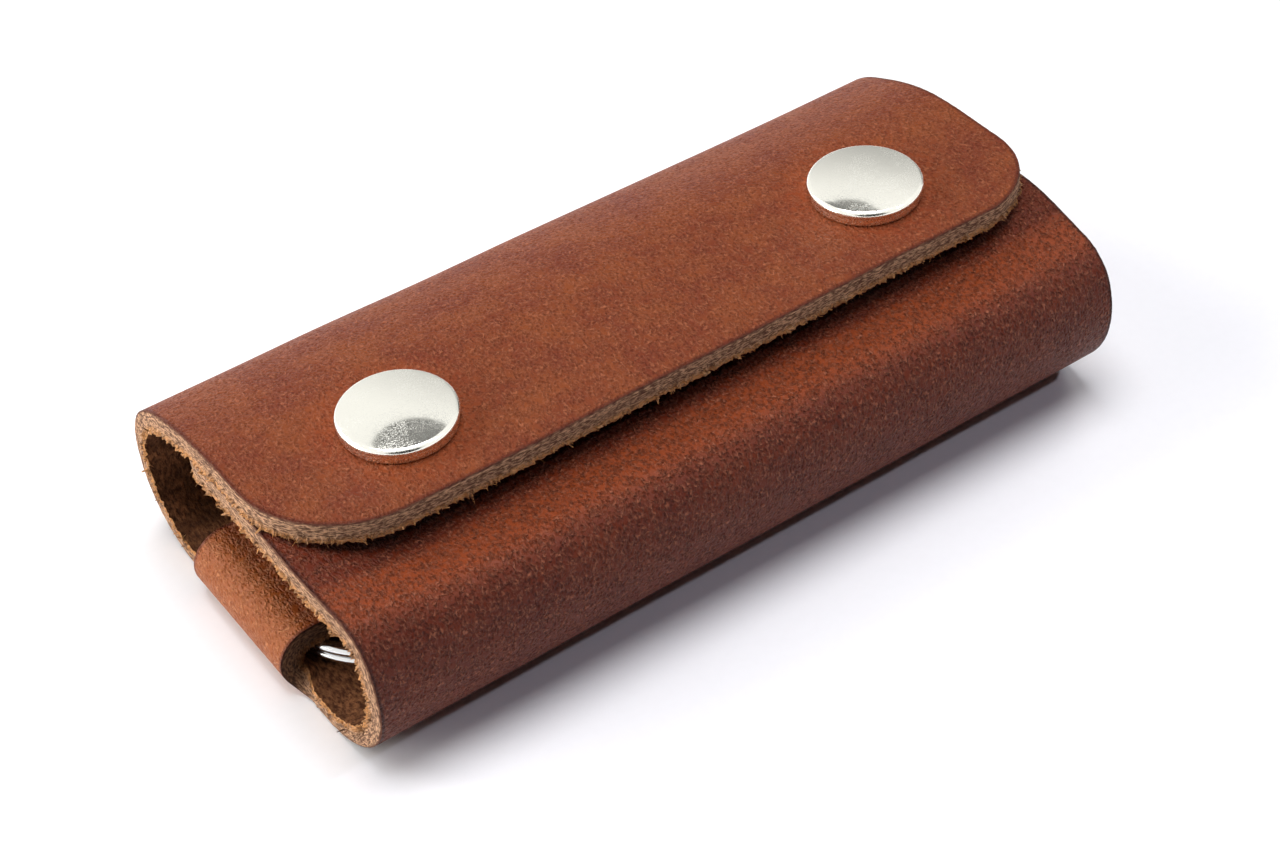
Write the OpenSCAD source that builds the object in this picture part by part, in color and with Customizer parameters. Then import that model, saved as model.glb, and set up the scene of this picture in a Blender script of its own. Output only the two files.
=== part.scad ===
// Snap-closed leather key case with a key ring in a folded tongue.
// One cut of thick leather is wrapped into a sleeve. X runs along the sleeve, with the
// tongue at the low end, -Y is the front and Z = 0 is the table under the flat bottom.

/* [Leather] */
// Thickness of the leather
leather_t = 2.4; // [1.8:0.1:2.8]
// Width of the cut leather, which is the length of the sleeve
case_len = 92.8; // [84:0.4:120]
// Corner radius of the flap
flap_corner_r = 11; // [6:0.5:15]
// Corner radius of the cover's hidden end
cover_corner_r = 4; // [1:0.5:6]

/* [Back and flap] */
// Flat bottom behind the middle of the case
bottom_back = 16; // [14:0.5:20]
// Outer radius where the bottom turns up into the back
heel_r = 8.5; // [7:0.5:10]
// Straight stretch of the back between its two bends
back_flat = 1; // [0.5:0.5:3]
// Outer radius where the back turns over into the flap
shoulder_r = 12; // [10:0.5:14]
// Outer radius of the flap's crown behind the snaps
crown_r = 45; // [35:1:55]
// Distance from the middle of the case to the flap's front edge
flap_reach = 13.9; // [13:0.1:17]
// Outer radius of the droop along the flap's front edge
droop_r = 60; // [40:5:120]

/* [Front and cover] */
// Flat bottom in front of the middle of the case
bottom_front = 12.5; // [11:0.5:13]
// Outer radius of the gentle rise at the front of the bottom
toe_r = 12; // [10:0.5:15]
// Outer radius where the front turns over under the flap
brow_r = 4.7; // [4:0.1:6]
// Distance from the middle of the case to the cover's hidden end
cover_reach = 12; // [8:0.5:14]

/* [Snaps] */
// Distance of each snap from its end of the sleeve
snap_in = 17.15; // [14:0.05:22]
// Distance of the snaps in front of the middle of the case
snap_offset = 3.1; // [2:0.1:5]
// Diameter of the domed cap
cap_d = 12.5; // [10:0.5:15]
// Height of the cap's rolled rim over the leather
cap_h = 1.9; // [1.6:0.1:2.4]
// Rise of the cap's dome over its rim
cap_dome = 0.45; // [0.2:0.05:0.8]
// Diameter of the cap's hollow post
cap_post_d = 3.6; // [3.2:0.1:4]
// Diameter of the socket's flange
socket_d = 11; // [10.4:0.1:12]
// Height of the socket
socket_h = 2.6; // [2.4:0.1:3]
// Diameter of the stud's flange
stud_d = 9.6; // [8.6:0.1:10.4]
// Thickness of the stud's flange
stud_flange_t = 0.7; // [0.5:0.05:0.8]
// Diameter of the stud's head
stud_head_d = 3.8; // [3.6:0.1:4]
// Diameter of the stud post's flange
stud_post_d = 8.4; // [7:0.1:9.5]

/* [Tongue and ring] */
// Width of the tongue where it folds over
tongue_w = 18.5; // [14:0.5:22]
// How far the fold stands out past the end of the sleeve
fold_out = 1.7; // [1:0.1:3]
// Outer diameter of the split ring
ring_d = 25; // [24.6:0.1:26]
// Width of the ring's wire
wire_w = 1.6; // [1.2:0.1:1.7]
// Height of the ring's wire
wire_h = 1.05; // [0.8:0.05:1.2]
// How far the ring reaches past the front end of the flat bottom
ring_reach = 1.6; // [1:0.1:1.8]
// Distance of the tongue's centre line behind the ring's, as a share of the radius of its hole
tongue_place_share = 0.344; // [0.24:0.004:0.38]
// Half the width of the tongue's riveted end, as a share of the radius of the ring's hole
tongue_end_share = 0.42; // [0.38:0.01:0.44]
// Radius of the rivet's two caps, as a share of the radius of the ring's hole
rivet_share = 0.365; // [0.3:0.005:0.37]

/* [Hidden] */
$fn = 96;
arc_steps = 14;
over = 1;

// Bends of the leather, in degrees
heel_turn = 90;
shoulder_turn = 70;
crease_turn = 35;
toe_turn = 35;
nose_turn = 75;

// Fits and seats
fit_gap = 0.05;
hole_gap = 0.1;
seat_gap = 0.15;
socket_seat = 0.5;
stud_seat = 0.55;
post_seat = 0.4;
mouth_gap = 0.1;

// Points of an arc round c, from angle a to angle b
function arc(c, r, a, b) =
    [for (i = [0:arc_steps]) c + r * [cos(a + (b - a) * i / arc_steps), sin(a + (b - a) * i / arc_steps)]];
// Centre and end of an outer bend that leaves point p on heading h and turns upwards
function bend_centre(p, r, h) = p + r * [-sin(h), cos(h)];
function bend_end(p, r, h, turn) = bend_centre(p, r, h) - r * [-sin(h + turn), cos(h + turn)];
// A bend's surface at depth d under the outer one
function bend(p, r, h, turn, d) = arc(bend_centre(p, r, h), r - d, h - 90, h + turn - 90);
function flipped(points) = [for (i = [len(points) - 1:-1:0]) points[i]];
function mirrored(points) = [for (p = points) [-p[0], p[1]]];

// Back: bottom, heel, back, shoulder, crown and droop, as [y, z] on the outer surface
heel_at = [bottom_back, 0];
heel_end = bend_end(heel_at, heel_r, 0, heel_turn);
shoulder_at = heel_end + [0, back_flat];
crease_at = bend_end(shoulder_at, shoulder_r, heel_turn, crease_turn);
crease_h = heel_turn + crease_turn;
crown_at = bend_end(shoulder_at, shoulder_r, heel_turn, shoulder_turn);
crown_h = heel_turn + shoulder_turn;
crown_end = bend_end(crown_at, crown_r, crown_h, 180 - crown_h);
flap_z = crown_end[1];
droop_run = flap_reach - snap_offset - cap_d / 2;
droop_turn = asin(droop_run / droop_r);
droop_at = [-snap_offset - cap_d / 2, flap_z];

// The snap's stack between the flap and the cover sets the cover's height
stack_gap = socket_h - socket_seat + mouth_gap + stud_flange_t - stud_seat;
cover_z = flap_z - leather_t - stack_gap;

// Front: bottom, toe, nose and brow, as [-y, z]; the nose reaches up to the cover's height
toe_at = [bottom_front, 0];
nose_at = bend_end(toe_at, toe_r, 0, toe_turn);
fold_h = toe_turn + nose_turn;
nose_r = (cover_z - nose_at[1] - brow_r * (1 + cos(fold_h))) / (cos(toe_turn) - cos(fold_h));
fold_at = bend_end(nose_at, nose_r, toe_turn, nose_turn);
brow_end = bend_end(fold_at, brow_r, fold_h, 180 - fold_h);
tail_r = crown_r - leather_t - stack_gap;
tail_at = [-crown_end[0], cover_z];
tail_turn = asin((cover_reach - crown_end[0]) / tail_r);

// Heights at the snaps
flap_flesh_z = flap_z - leather_t;
cover_flesh_z = cover_z - leather_t;
stud_top_z = cover_z - stud_seat + stud_flange_t;
mouth_z = stud_top_z + mouth_gap;
socket_back_z = mouth_z + socket_h;

// Snap cap, over the grain of the flap
cap_shell_t = 0.4;
cap_rim_r = 0.55;
cap_curl_r = 0.25;
cap_base_t = 0.35;
post_wall_t = 0.45;
cap_bore_r = cap_post_d / 2 - post_wall_t;
cap_dome_at = cap_d / 2 - cap_rim_r;
cap_dome_r = (cap_dome_at * cap_dome_at + cap_dome * cap_dome) / (2 * cap_dome);
clinch_r = 2.4;
clinch_t = 0.25;

// Socket: flange, sloped shoulder, barrel and rolled mouth
socket_plate_t = 0.3;
socket_flange_t = 0.5;
socket_shoulder_h = 0.5;
barrel_r = 4.2;
barrel_wall_t = 0.5;
lip_t = 0.4;
head_sway = 0.85;
mouth_r = stud_head_d / 2 + head_sway;
spring_wire_d = 0.5;
spring_clear = 0.15;
spring_x = stud_head_d / 2 + spring_clear + spring_wire_d / 2;
spring_half_l = 2.7;

// Stud and its post
head_h = 1.75;
neck_h = 0.85;
neck_r = 1.55;
stud_flare_r = 2.6;
stud_flare_h = 0.45;
tube_r = 1.2;
tube_bore_r = 0.85;
roll_r = 1.5;
roll_t = 0.15;
post_flange_t = 0.7;
post_dome = 0.25;

// Tongue: a fold round the ring, then a step down to its riveted end
ply_gap = 0.1;
ring_gap = 0.28;
coil_gap = 0.05;
ring_h = 2 * wire_h + coil_gap;
loop_gap = ring_h + 2 * ring_gap;
fold_r = leather_t + loop_gap / 2;
arm_z = leather_t + loop_gap;
seat_z = leather_t + ply_gap;
end_x = -case_len / 2;
snap_x = case_len / 2 - snap_in;
fold_x = end_x - fold_out + fold_r;

// The tongue's step, taper and rivet keep their places within the ring's hole
ring_end_gap = 0.6;
ring_x = end_x - fold_out + leather_t + ring_end_gap + ring_d / 2;
ring_y = ring_d / 2 - ring_reach - bottom_front;
ring_hole_r = ring_d / 2 - wire_w;
tongue_y = ring_y + tongue_place_share * ring_hole_r;
ramp_share = 0.5;
ramp_run_share = 0.29;
taper_share = 0.27;
rivet_place_share = 0.24;
ramp_x = ring_x - ramp_share * ring_hole_r;
ramp_run = ramp_run_share * ring_hole_r;
taper_run = taper_share * ring_hole_r;
tongue_end_r = tongue_end_share * ring_hole_r;

// Rivet
rivet_x = ring_x + rivet_place_share * ring_hole_r;
rivet_r = rivet_share * ring_hole_r;
rivet_post_r = 1.5;
rivet_cap_t = 0.9;
rivet_rim_t = 0.5;
rivet_sunk = 0.1;
rivet_grip = 0.6;
tongue_top_z = seat_z + leather_t;

// Split ring
wire_round_share = 0.42;
wire_sides = 12;
coil_step = 10;
coil_start = 25;
coil_end = 695;
jog_start = 335;
jog_end = 385;

// The section's pieces, as closed bands of leather
function back_outer() = concat([[0, 0]], bend(heel_at, heel_r, 0, heel_turn, 0),
    bend(shoulder_at, shoulder_r, heel_turn, crease_turn, 0));
function back_inner() = concat([[0, leather_t]], bend(heel_at, heel_r, 0, heel_turn, leather_t),
    bend(shoulder_at, shoulder_r, heel_turn, crease_turn, leather_t));
function front_side(d) = mirrored(concat(bend(toe_at, toe_r, 0, toe_turn, d),
    bend(nose_at, nose_r, toe_turn, nose_turn, d)));
function flap_side(d) = concat(
    bend(crease_at, shoulder_r, crease_h, shoulder_turn - crease_turn, d),
    bend(crown_at, crown_r, crown_h, 180 - crown_h, d),
    bend(droop_at, droop_r, 180, droop_turn, d));
function cover_side(d) = mirrored(concat(
    bend(fold_at, brow_r, fold_h, 180 - fold_h, d),
    bend(tail_at, tail_r, 180, tail_turn, d)));

// Extrudes a [y, z] section along the sleeve
module along(points) {
    rotate([90, 0, 90]) linear_extrude(case_len, center = true) polygon(points);
}

// A block with two rounded corners at its low Y end, for trimming a panel's free edge
module rounded_end(y_free, y_far, r, z_low, z_high) {
    x = case_len / 2;
    translate([0, 0, z_low]) linear_extrude(z_high - z_low) polygon(concat(
        [[x, y_far], [-x, y_far]],
        arc([-x + r, y_free + r], r, 180, 270),
        arc([x - r, y_free + r], r, 270, 360)));
}

module at_snap(side) {
    translate([side * snap_x, -snap_offset, 0]) children();
}

module tongue_outline() {
    half = tongue_w / 2;
    x_low = end_x - fold_out - over;
    polygon(concat(
        [[x_low, half], [x_low, -half], [ramp_x - taper_run, -half], [ramp_x, -tongue_end_r]],
        arc([rivet_x, 0], tongue_end_r, -90, 90),
        [[ramp_x, tongue_end_r], [ramp_x - taper_run, half]]));
}

module tongue_profile() {
    x_far = rivet_x + tongue_end_r + over;
    top = arm_z + leather_t;
    polygon(concat(
        [[fold_x + over, leather_t], [fold_x + over, 0]],
        arc([fold_x, fold_r], fold_r, 270, 90),
        [[ramp_x, top], [ramp_x + ramp_run, tongue_top_z], [x_far, tongue_top_z],
         [x_far, seat_z], [ramp_x + ramp_run, seat_z], [ramp_x, arm_z]],
        arc([fold_x, fold_r], fold_r - leather_t, 90, 270)));
}

module tongue() {
    half = tongue_w / 2;
    translate([0, tongue_y, 0]) intersection() {
        rotate([90, 0, 0]) linear_extrude(tongue_w, center = true) tongue_profile();
        linear_extrude(arm_z + leather_t + over) tongue_outline();
    }
}

module base_panel() {
    color("#8a4a30") difference() {
        union() {
            difference() {
                along(concat(flipped(front_side(0)), back_outer(),
                    flipped(back_inner()), front_side(leather_t)));
                translate([end_x - over, tongue_y - tongue_w / 2, -over])
                    cube([fold_x - end_x + over, tongue_w, leather_t + 2 * over]);
            }
            tongue();
        }
        translate([rivet_x, tongue_y, -over])
            cylinder(r = rivet_post_r + hole_gap, h = tongue_top_z + 2 * over);
        translate([rivet_x, tongue_y, -over])
            cylinder(r = rivet_r + seat_gap, h = rivet_sunk + rivet_cap_t + over);
    }
}

module flap_panel() {
    color("#96533a") difference() {
        intersection() {
            along(concat(flap_side(0), flipped(flap_side(leather_t))));
            rounded_end(-flap_reach, crease_at[0] + over, flap_corner_r, 0, flap_z + over);
        }
        for (side = [-1, 1]) at_snap(side) {
            cylinder(r = cap_post_d / 2 + hole_gap, h = flap_z + over);
            cylinder(r = socket_d / 2 + seat_gap, h = socket_back_z);
        }
    }
}

module front_cover() {
    color("#824329") difference() {
        intersection() {
            along(concat(cover_side(0), flipped(cover_side(leather_t))));
            mirror([0, 1, 0])
                rounded_end(-cover_reach, fold_at[0] + over, cover_corner_r, 0, cover_z + over);
        }
        for (side = [-1, 1]) at_snap(side) {
            cylinder(r = tube_r + hole_gap, h = cover_z + over);
            translate([0, 0, cover_z - stud_seat])
                cylinder(r = stud_d / 2 + seat_gap, h = stud_seat + over);
            cylinder(r = stud_post_d / 2 + seat_gap, h = cover_flesh_z + post_seat);
        }
    }
}

// Domed cap with a rolled rim and a hollow post clinched inside the socket
module snap_cap(side) {
    rim_c = [cap_d / 2 - cap_rim_r, cap_h - cap_rim_r];
    curl_c = [cap_d / 2 - cap_curl_r, cap_curl_r];
    dome_c = [0, cap_h + cap_dome - cap_dome_r];
    dome_end_a = atan2(cap_h - dome_c[1], cap_dome_at);
    plate_low = socket_back_z - socket_plate_t - flap_z;
    post_r = cap_post_d / 2;
    inner_r = cap_d / 2 - cap_shell_t;
    color("#d8d6d2") at_snap(side) translate([0, 0, flap_z]) rotate_extrude() polygon(concat(
        arc(dome_c, cap_dome_r, 90, dome_end_a),
        arc(rim_c, cap_rim_r, dome_end_a, 0),
        arc(curl_c, cap_curl_r, 0, -90),
        [[post_r, 0], [post_r, plate_low], [clinch_r, plate_low],
         [clinch_r - clinch_t, plate_low - clinch_t], [cap_bore_r, plate_low - clinch_t],
         [cap_bore_r, cap_base_t], [inner_r - cap_curl_r, cap_base_t],
         [inner_r, cap_base_t + cap_curl_r], [inner_r, cap_h - cap_rim_r]],
        flipped(arc(dome_c, cap_dome_r - cap_shell_t, 90, dome_end_a))));
}

// Flanged barrel whose rolled mouth takes the stud
module snap_socket(side) {
    flange_r = socket_d / 2;
    low = socket_h - socket_flange_t;
    cavity_r = barrel_r - barrel_wall_t;
    color("#c9c6c0") at_snap(side) translate([0, 0, mouth_z]) rotate_extrude() polygon(concat(
        [[cap_post_d / 2 + fit_gap, socket_h], [flange_r, socket_h], [flange_r, low],
         [barrel_r, low - socket_shoulder_h]],
        arc([barrel_r - lip_t, lip_t], lip_t, 0, -90),
        arc([mouth_r + lip_t / 2, lip_t / 2], lip_t / 2, 270, 90),
        [[cavity_r, lip_t], [cavity_r, socket_h - socket_plate_t],
         [cap_post_d / 2 + fit_gap, socket_h - socket_plate_t]]));
}

// Two straight wires across the socket, one on each side of the stud
module snap_spring(side) {
    color("#9c9a94") at_snap(side)
        for (s = [-1, 1])
            translate([s * spring_x, -spring_half_l, mouth_z + lip_t + fit_gap + spring_wire_d / 2])
                rotate([-90, 0, 0]) cylinder(d = spring_wire_d, h = 2 * spring_half_l, $fn = 24);
}

// Flanged stud with a waisted head and a bore for its post
module snap_stud(side) {
    head_r = stud_head_d / 2;
    top = stud_flange_t + head_h;
    waist = stud_flange_t + neck_h;
    bulb = (top - waist) / 2;
    color("#c9c6c0") at_snap(side) translate([0, 0, cover_z - stud_seat]) rotate_extrude() polygon(concat(
        [[tube_r + fit_gap, 0], [stud_d / 2, 0], [stud_d / 2, stud_flange_t / 2],
         [stud_d / 2 - stud_flange_t / 2, stud_flange_t], [stud_flare_r, stud_flange_t],
         [neck_r, stud_flange_t + stud_flare_h], [neck_r, waist]],
        arc([head_r - bulb, waist + bulb], bulb, -60, 90),
        [[tube_r + fit_gap, top]]));
}

// Eyelet behind the cover whose tube holds the stud
module stud_post(side) {
    flange_r = stud_post_d / 2;
    flange_top = cover_flesh_z + post_seat;
    flange_low = flange_top - post_flange_t;
    head_top = cover_z - stud_seat + stud_flange_t + head_h;
    color("#b9b6b0") at_snap(side) rotate_extrude() polygon([
        [tube_bore_r, flange_low - post_dome], [flange_r - post_flange_t, flange_low - post_dome],
        [flange_r, flange_top - post_flange_t / 2], [flange_r, flange_top], [tube_r, flange_top],
        [tube_r, head_top], [roll_r, head_top], [roll_r - roll_t, head_top + roll_t],
        [tube_bore_r, head_top + roll_t]]);
}

// Rivet through the bottom and the tongue's end: its outer cap lies flush in the grain
module tongue_rivet_post() {
    top = rivet_sunk + rivet_cap_t;
    post_top = tongue_top_z + rivet_grip;
    color("#cfccc6") translate([rivet_x, tongue_y, 0]) rotate_extrude() polygon([
        [0, rivet_sunk], [rivet_r - rivet_rim_t, rivet_sunk], [rivet_r, top - rivet_rim_t],
        [rivet_r, top], [rivet_post_r, top], [rivet_post_r, post_top], [0, post_top]]);
}

module tongue_rivet_cap() {
    bore_r = rivet_post_r + fit_gap;
    color("#cfccc6") translate([rivet_x, tongue_y, tongue_top_z]) rotate_extrude() polygon([
        [bore_r, 0], [rivet_r, 0], [rivet_r, rivet_rim_t], [rivet_r - rivet_rim_t, rivet_cap_t],
        [0, rivet_cap_t + rivet_sunk], [0, rivet_grip + fit_gap], [bore_r, rivet_grip + fit_gap]]);
}

// Height of the wire's middle along its two turns, with one smooth step between the coils
function coil_share(a) = a <= jog_start ? 0 : a >= jog_end ? 1
    : (1 - cos(180 * (a - jog_start) / (jog_end - jog_start))) / 2;
// Rounded section of the wire: corner k of the wire's outline, as [radial, z]
function wire_point(k) = let (
        a = 360 * (k + 0.5) / wire_sides, r = wire_round_share * wire_h,
        sx = sign(cos(a)), sz = sign(sin(a)))
    [sx * (wire_w / 2 - r) + r * cos(a), sz * (wire_h / 2 - r) + r * sin(a)];

// Two flat turns of wire with a step between them, swept as one tube
module split_ring() {
    mid_r = ring_d / 2 - wire_w / 2;
    low_z = leather_t + ring_gap + wire_h / 2;
    rings = [for (a = [coil_start:coil_step:coil_end])
        [for (k = [0:wire_sides - 1]) let (p = wire_point(k))
            [(mid_r + p[0]) * cos(a), (mid_r + p[0]) * sin(a),
             low_z + coil_share(a) * (wire_h + coil_gap) + p[1]]]];
    n = wire_sides;
    last = len(rings) - 1;
    sides = [for (i = [0:last - 1], k = [0:n - 1]) let (j = (k + 1) % n)
        each [[i * n + k, (i + 1) * n + k, (i + 1) * n + j], [i * n + k, (i + 1) * n + j, i * n + j]]];
    first_cap = [for (k = [1:n - 2]) [0, k, k + 1]];
    last_cap = [for (k = [1:n - 2]) [last * n, last * n + k + 1, last * n + k]];
    color("#d0d0d2") translate([ring_x, ring_y, 0])
        polyhedron([for (r = rings) each r], concat(sides, first_cap, last_cap), convexity = 6);
}

base_panel();
flap_panel();
front_cover();
snap_cap(-1);  // snap_cap_left
snap_cap(1);  // snap_cap_right
snap_socket(-1);  // snap_socket_left
snap_socket(1);  // snap_socket_right
snap_spring(-1);  // snap_spring_left
snap_spring(1);  // snap_spring_right
snap_stud(-1);  // snap_stud_left
snap_stud(1);  // snap_stud_right
stud_post(-1);  // stud_post_left
stud_post(1);  // stud_post_right
tongue_rivet_post();
tongue_rivet_cap();
split_ring();
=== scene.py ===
# %% [markdown]
# # A snap-closed leather key case
#
# The real object is one cut of thick vegetable-tanned leather, wrapped into a sleeve. Two
# snaps close its flap, and a tongue at the left end folds over a split ring and is riveted
# down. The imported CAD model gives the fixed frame. This lesson builds the finished looks
# around it: the leather with its raw edges and loose fibres, and the bright metal parts.

# %% Load the frame
import math
import random

import bmesh
import bpy
from mathutils import Matrix, Vector, kdtree, noise


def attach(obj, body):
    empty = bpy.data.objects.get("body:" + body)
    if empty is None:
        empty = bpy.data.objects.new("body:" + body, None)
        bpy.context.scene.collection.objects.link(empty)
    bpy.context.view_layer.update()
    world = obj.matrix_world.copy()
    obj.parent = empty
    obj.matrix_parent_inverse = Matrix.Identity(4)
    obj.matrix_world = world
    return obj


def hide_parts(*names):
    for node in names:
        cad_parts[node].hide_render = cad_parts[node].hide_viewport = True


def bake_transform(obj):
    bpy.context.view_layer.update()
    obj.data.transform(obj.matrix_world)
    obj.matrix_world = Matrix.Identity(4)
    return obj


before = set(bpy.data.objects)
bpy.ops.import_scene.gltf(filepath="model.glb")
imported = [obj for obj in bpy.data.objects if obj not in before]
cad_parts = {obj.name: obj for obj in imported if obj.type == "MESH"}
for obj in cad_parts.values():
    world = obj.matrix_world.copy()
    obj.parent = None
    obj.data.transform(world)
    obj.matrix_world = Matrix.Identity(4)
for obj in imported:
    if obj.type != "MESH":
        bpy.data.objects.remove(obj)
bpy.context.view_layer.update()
MM = 0.001

# %% [markdown]
# ## The leather's path
#
# A maker cuts the leather flat, wets it and wraps it. A wrapped section is a row of straight
# runs and bends, so it can be walked like a path: each step is a length along the grain and
# the radius of its bend. The same walk, taken some depth under the grain, gives the flesh
# side, and so both faces and the cut edge between them come from one rule.

# %% Walk a wrapped path
LEATHER = 2.4 * MM


def bends(*steps):
    """Marks a path of (length, radius) steps in mm; a radius of 0 runs straight, and one
    below 0 bends back."""
    marks, done, at, up, heading = [], 0.0, 0.0, 0.0, 0.0
    for length, radius in steps:
        length, radius = length * MM, radius * MM
        marks.append((done, at, up, heading, radius))
        at, up, heading = step_on(at, up, heading, radius, length)
        done += length
    marks.append((done, at, up, heading, 0.0))
    return marks


def step_on(at, up, heading, radius, length):
    if radius == 0:
        return at + length * math.cos(heading), up + length * math.sin(heading), heading
    after = heading + length / radius
    return (at + radius * (math.sin(after) - math.sin(heading)),
            up + radius * (math.cos(heading) - math.cos(after)), after)


def walk(marks, far, depth):
    """The place at a distance along the grain and a depth under it."""
    done, at, up, heading, radius = max(
        (m for m in marks if m[0] <= max(far, 0.0)), key=lambda m: m[0])
    at, up, heading = step_on(at, up, heading, radius, far - done)
    return at - depth * math.sin(heading), up + depth * math.cos(heading)


def arc(radius, degrees):
    return abs(radius) * math.radians(degrees), radius


STRETCH = 4.5 * MM
TIGHTEST_TURN = 0.8


def tightness(marks, far):
    """The turn between a stretch before a place and one after it, 1 where it is tightest."""
    before, here, after = (Vector(walk(marks, far + step, 0)) for step in (-STRETCH, 0, STRETCH))
    return min((here - before).angle(after - here, 0) / TIGHTEST_TURN, 1)


# Bottom, heel, back, shoulder in two bends, top, and the flap's droop beyond the snaps.
BACK = bends((16, 0), arc(8.5, 90), (1, 0), arc(12, 70), arc(45, 20), (10.563, 0),
             arc(60, 4.35))
# Bottom, toe, front, top edge, and the cover's run under the flap with its own droop.
FRONT = bends((12.5, 0), arc(12, 35), arc(11.607, 75), arc(4.7, 70), (20.429, 0),
              arc(40.25, 15.54))
print("grain length in mm: back and flap", round(BACK[-1][0] / MM, 1),
      "front and cover", round(FRONT[-1][0] / MM, 1))

# %% [markdown]
# ## Cutting the sheet
#
# The cut starts as a flat grid, x along the sleeve and y along the wrap. Rounding a corner of
# a grid can be done by trimming, which leaves slivers, or by sliding the points of the
# corner's square onto a quarter disc. Sliding keeps every face a clean quad.

# %% A flat grid and its rounded corners
HALF = 46.4 * MM
PITCH = 0.5 * MM
# A point nearer than this to a line of the cut lies on it.
NEAR = PITCH / 4


def flat_grid(x_low, x_high, y_low, y_high):
    bm = bmesh.new()
    columns = round((x_high - x_low) / PITCH)
    rows = round((y_high - y_low) / PITCH)
    bmesh.ops.create_grid(bm, x_segments=columns, y_segments=rows, size=0.5)
    bmesh.ops.scale(bm, vec=(x_high - x_low, y_high - y_low, 1), verts=bm.verts)
    bmesh.ops.translate(
        bm, vec=((x_low + x_high) / 2, (y_low + y_high) / 2, 0), verts=bm.verts)
    return bm


def onto_disc(across, along):
    """Slides a point of a square onto the disc that fits it."""
    reach = math.hypot(across, along)
    share = max(abs(across), abs(along)) / reach if reach > 0 else 1
    return across * share, along * share


def round_free_corners(bm, y_end, left_radius, right_radius):
    for v in bm.verts:
        side, radius = (-1, left_radius) if v.co.x < 0 else (1, right_radius)
        across, along = side * v.co.x - (HALF - radius), v.co.y - (y_end - radius)
        if across > 0 and along > 0:
            across, along = onto_disc(across, along)
            v.co.x = side * (HALF - radius + across)
            v.co.y = y_end - radius + along


def punch(bm, x, y, radius):
    """Removes the leather that a fastener's post goes through, out of sight."""
    inside = [v for v in bm.verts if math.hypot(v.co.x - x, v.co.y - y) < radius]
    bmesh.ops.delete(bm, geom=inside, context="VERTS")


# %% [markdown]
# ## From a flat cut to thick leather
#
# Solidify gives the sheet its thickness. Cuts round its wall, closer together near the grain,
# let the raw edge be rough. The wall is halved three times, because one cut into eight would
# leave its points a hair apart from run to run. The mesh is then sorted by place: the random
# fibres are drawn in its order, and the same order gives the same fibres.

# %% Thickness and walls
GRAIN, EDGE, FLESH = 0, 1, 2
WALL_HALVINGS = 3
# A power above 1 moves the wall's rows towards the grain.
GRAINWARD = 1.25
# An edge that rises less is level, and a point that lies less deep is on the grain.
LEVEL, GRAIN_ROW = LEATHER / 100, LEATHER / 50


def upright(edge):
    return abs(edge.verts[0].co.z - edge.verts[1].co.z)


def on_wall(part):
    return any(f.material_index == EDGE for f in part.link_faces)


def set_order(bm):
    """Sorts the mesh by place, because bulk operators leave it in a varying order."""
    for parts, place in ((bm.verts, lambda v: v.co[:]),
                         (bm.edges, lambda e: sorted(v.co[:] for v in e.verts)),
                         (bm.faces, lambda f: sorted(v.co[:] for v in f.verts))):
        rank = {part: i for i, part in enumerate(sorted(parts, key=place))}
        parts.sort(key=rank.get)


def thicken(bm, seams):
    """Returns the wall's points that lie on a free edge, each with its way out."""
    bmesh.ops.solidify(bm, geom=bm.faces, thickness=LEATHER)
    top = max(v.co.z for v in bm.verts)
    bmesh.ops.translate(bm, vec=(0, 0, -top), verts=bm.verts)
    bmesh.ops.recalc_face_normals(bm, faces=bm.faces)
    wall = {f for e in bm.edges if upright(e) > LEATHER / 2 for f in e.link_faces}
    for f in bm.faces:
        f.material_index = EDGE if f in wall else (
            GRAIN if f.calc_center_median().z > -LEATHER / 2 else FLESH)
    for halving in range(WALL_HALVINGS):
        posts = [e for e in bm.edges if upright(e) > LEATHER / 2 ** halving / 2]
        bmesh.ops.subdivide_edges(bm, edges=posts, cuts=1, use_grid_fill=True)
    along = [e for e in bm.edges if upright(e) < LEVEL and on_wall(e)]
    bmesh.ops.subdivide_edges(bm, edges=along, cuts=1, use_grid_fill=True)
    set_order(bm)
    for v in bm.verts:
        v.co.z = -LEATHER * (-v.co.z / LEATHER) ** GRAINWARD if v.co.z < 0 else 0
    bm.normal_update()
    return [(v, way_out(v)) for v in bm.verts if on_wall(v) and not seams(v.co)]


def way_out(v):
    """The direction out of the sheet's edge at a wall point, in the flat cut."""
    found = Vector((0, 0, 0))
    for f in v.link_faces:
        if f.material_index == EDGE:
            found += f.normal
    found.z = 0
    return found.normalized() if found.length > 0 else found


# %% [markdown]
# ## Raw edges
#
# A knife leaves the edge of thick leather rough, more so towards the flesh side, where tufts
# of fibre stand out and loose fibres hang from them. The roughness is a push of the wall's
# points by noise, and the grain's rim is drawn in a little, as a worn cut edge is. Tufts and
# fibres are drawn out of the wall's own faces, each kind by one operator, and so they stay
# part of the leather: a few faces each, because there are thousands.

# %% Roughen the wall, draw out tufts and fibres
dice = random.Random(7)
# Large and small clumps push the wall in and out, more and more towards the flesh side.
CLUMP, CRUMB, CRUMB_SHARE = 0.8 * MM, 0.35 * MM, 0.7
SMOOTH_ROW, ROUGH_ROW = 0.03, 0.16
# The rim is drawn in, and the lowest row hangs: both begin at a share of the thickness.
RIM_IN, RIM_SHARE = 0.14 * MM, 0.09
HANG, HANG_LENGTH, HANG_MEAN, HANG_SHARE = 0.3 * MM, 0.6 * MM, 0.35, 0.95
TUFT = {"taper": 0.3, "lengths": (0.12 * MM, 0.42 * MM), "lean": 0.45}
FIBRE = {"taper": 0.35, "lengths": (0.3 * MM, 0.8 * MM), "lean": 0.7}
TUFTS_SHARE, FIBRES_SHARE, FIBRE_ROOT = 0.55, 0.1, 0.08 * MM
DROOP = -0.25


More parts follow.
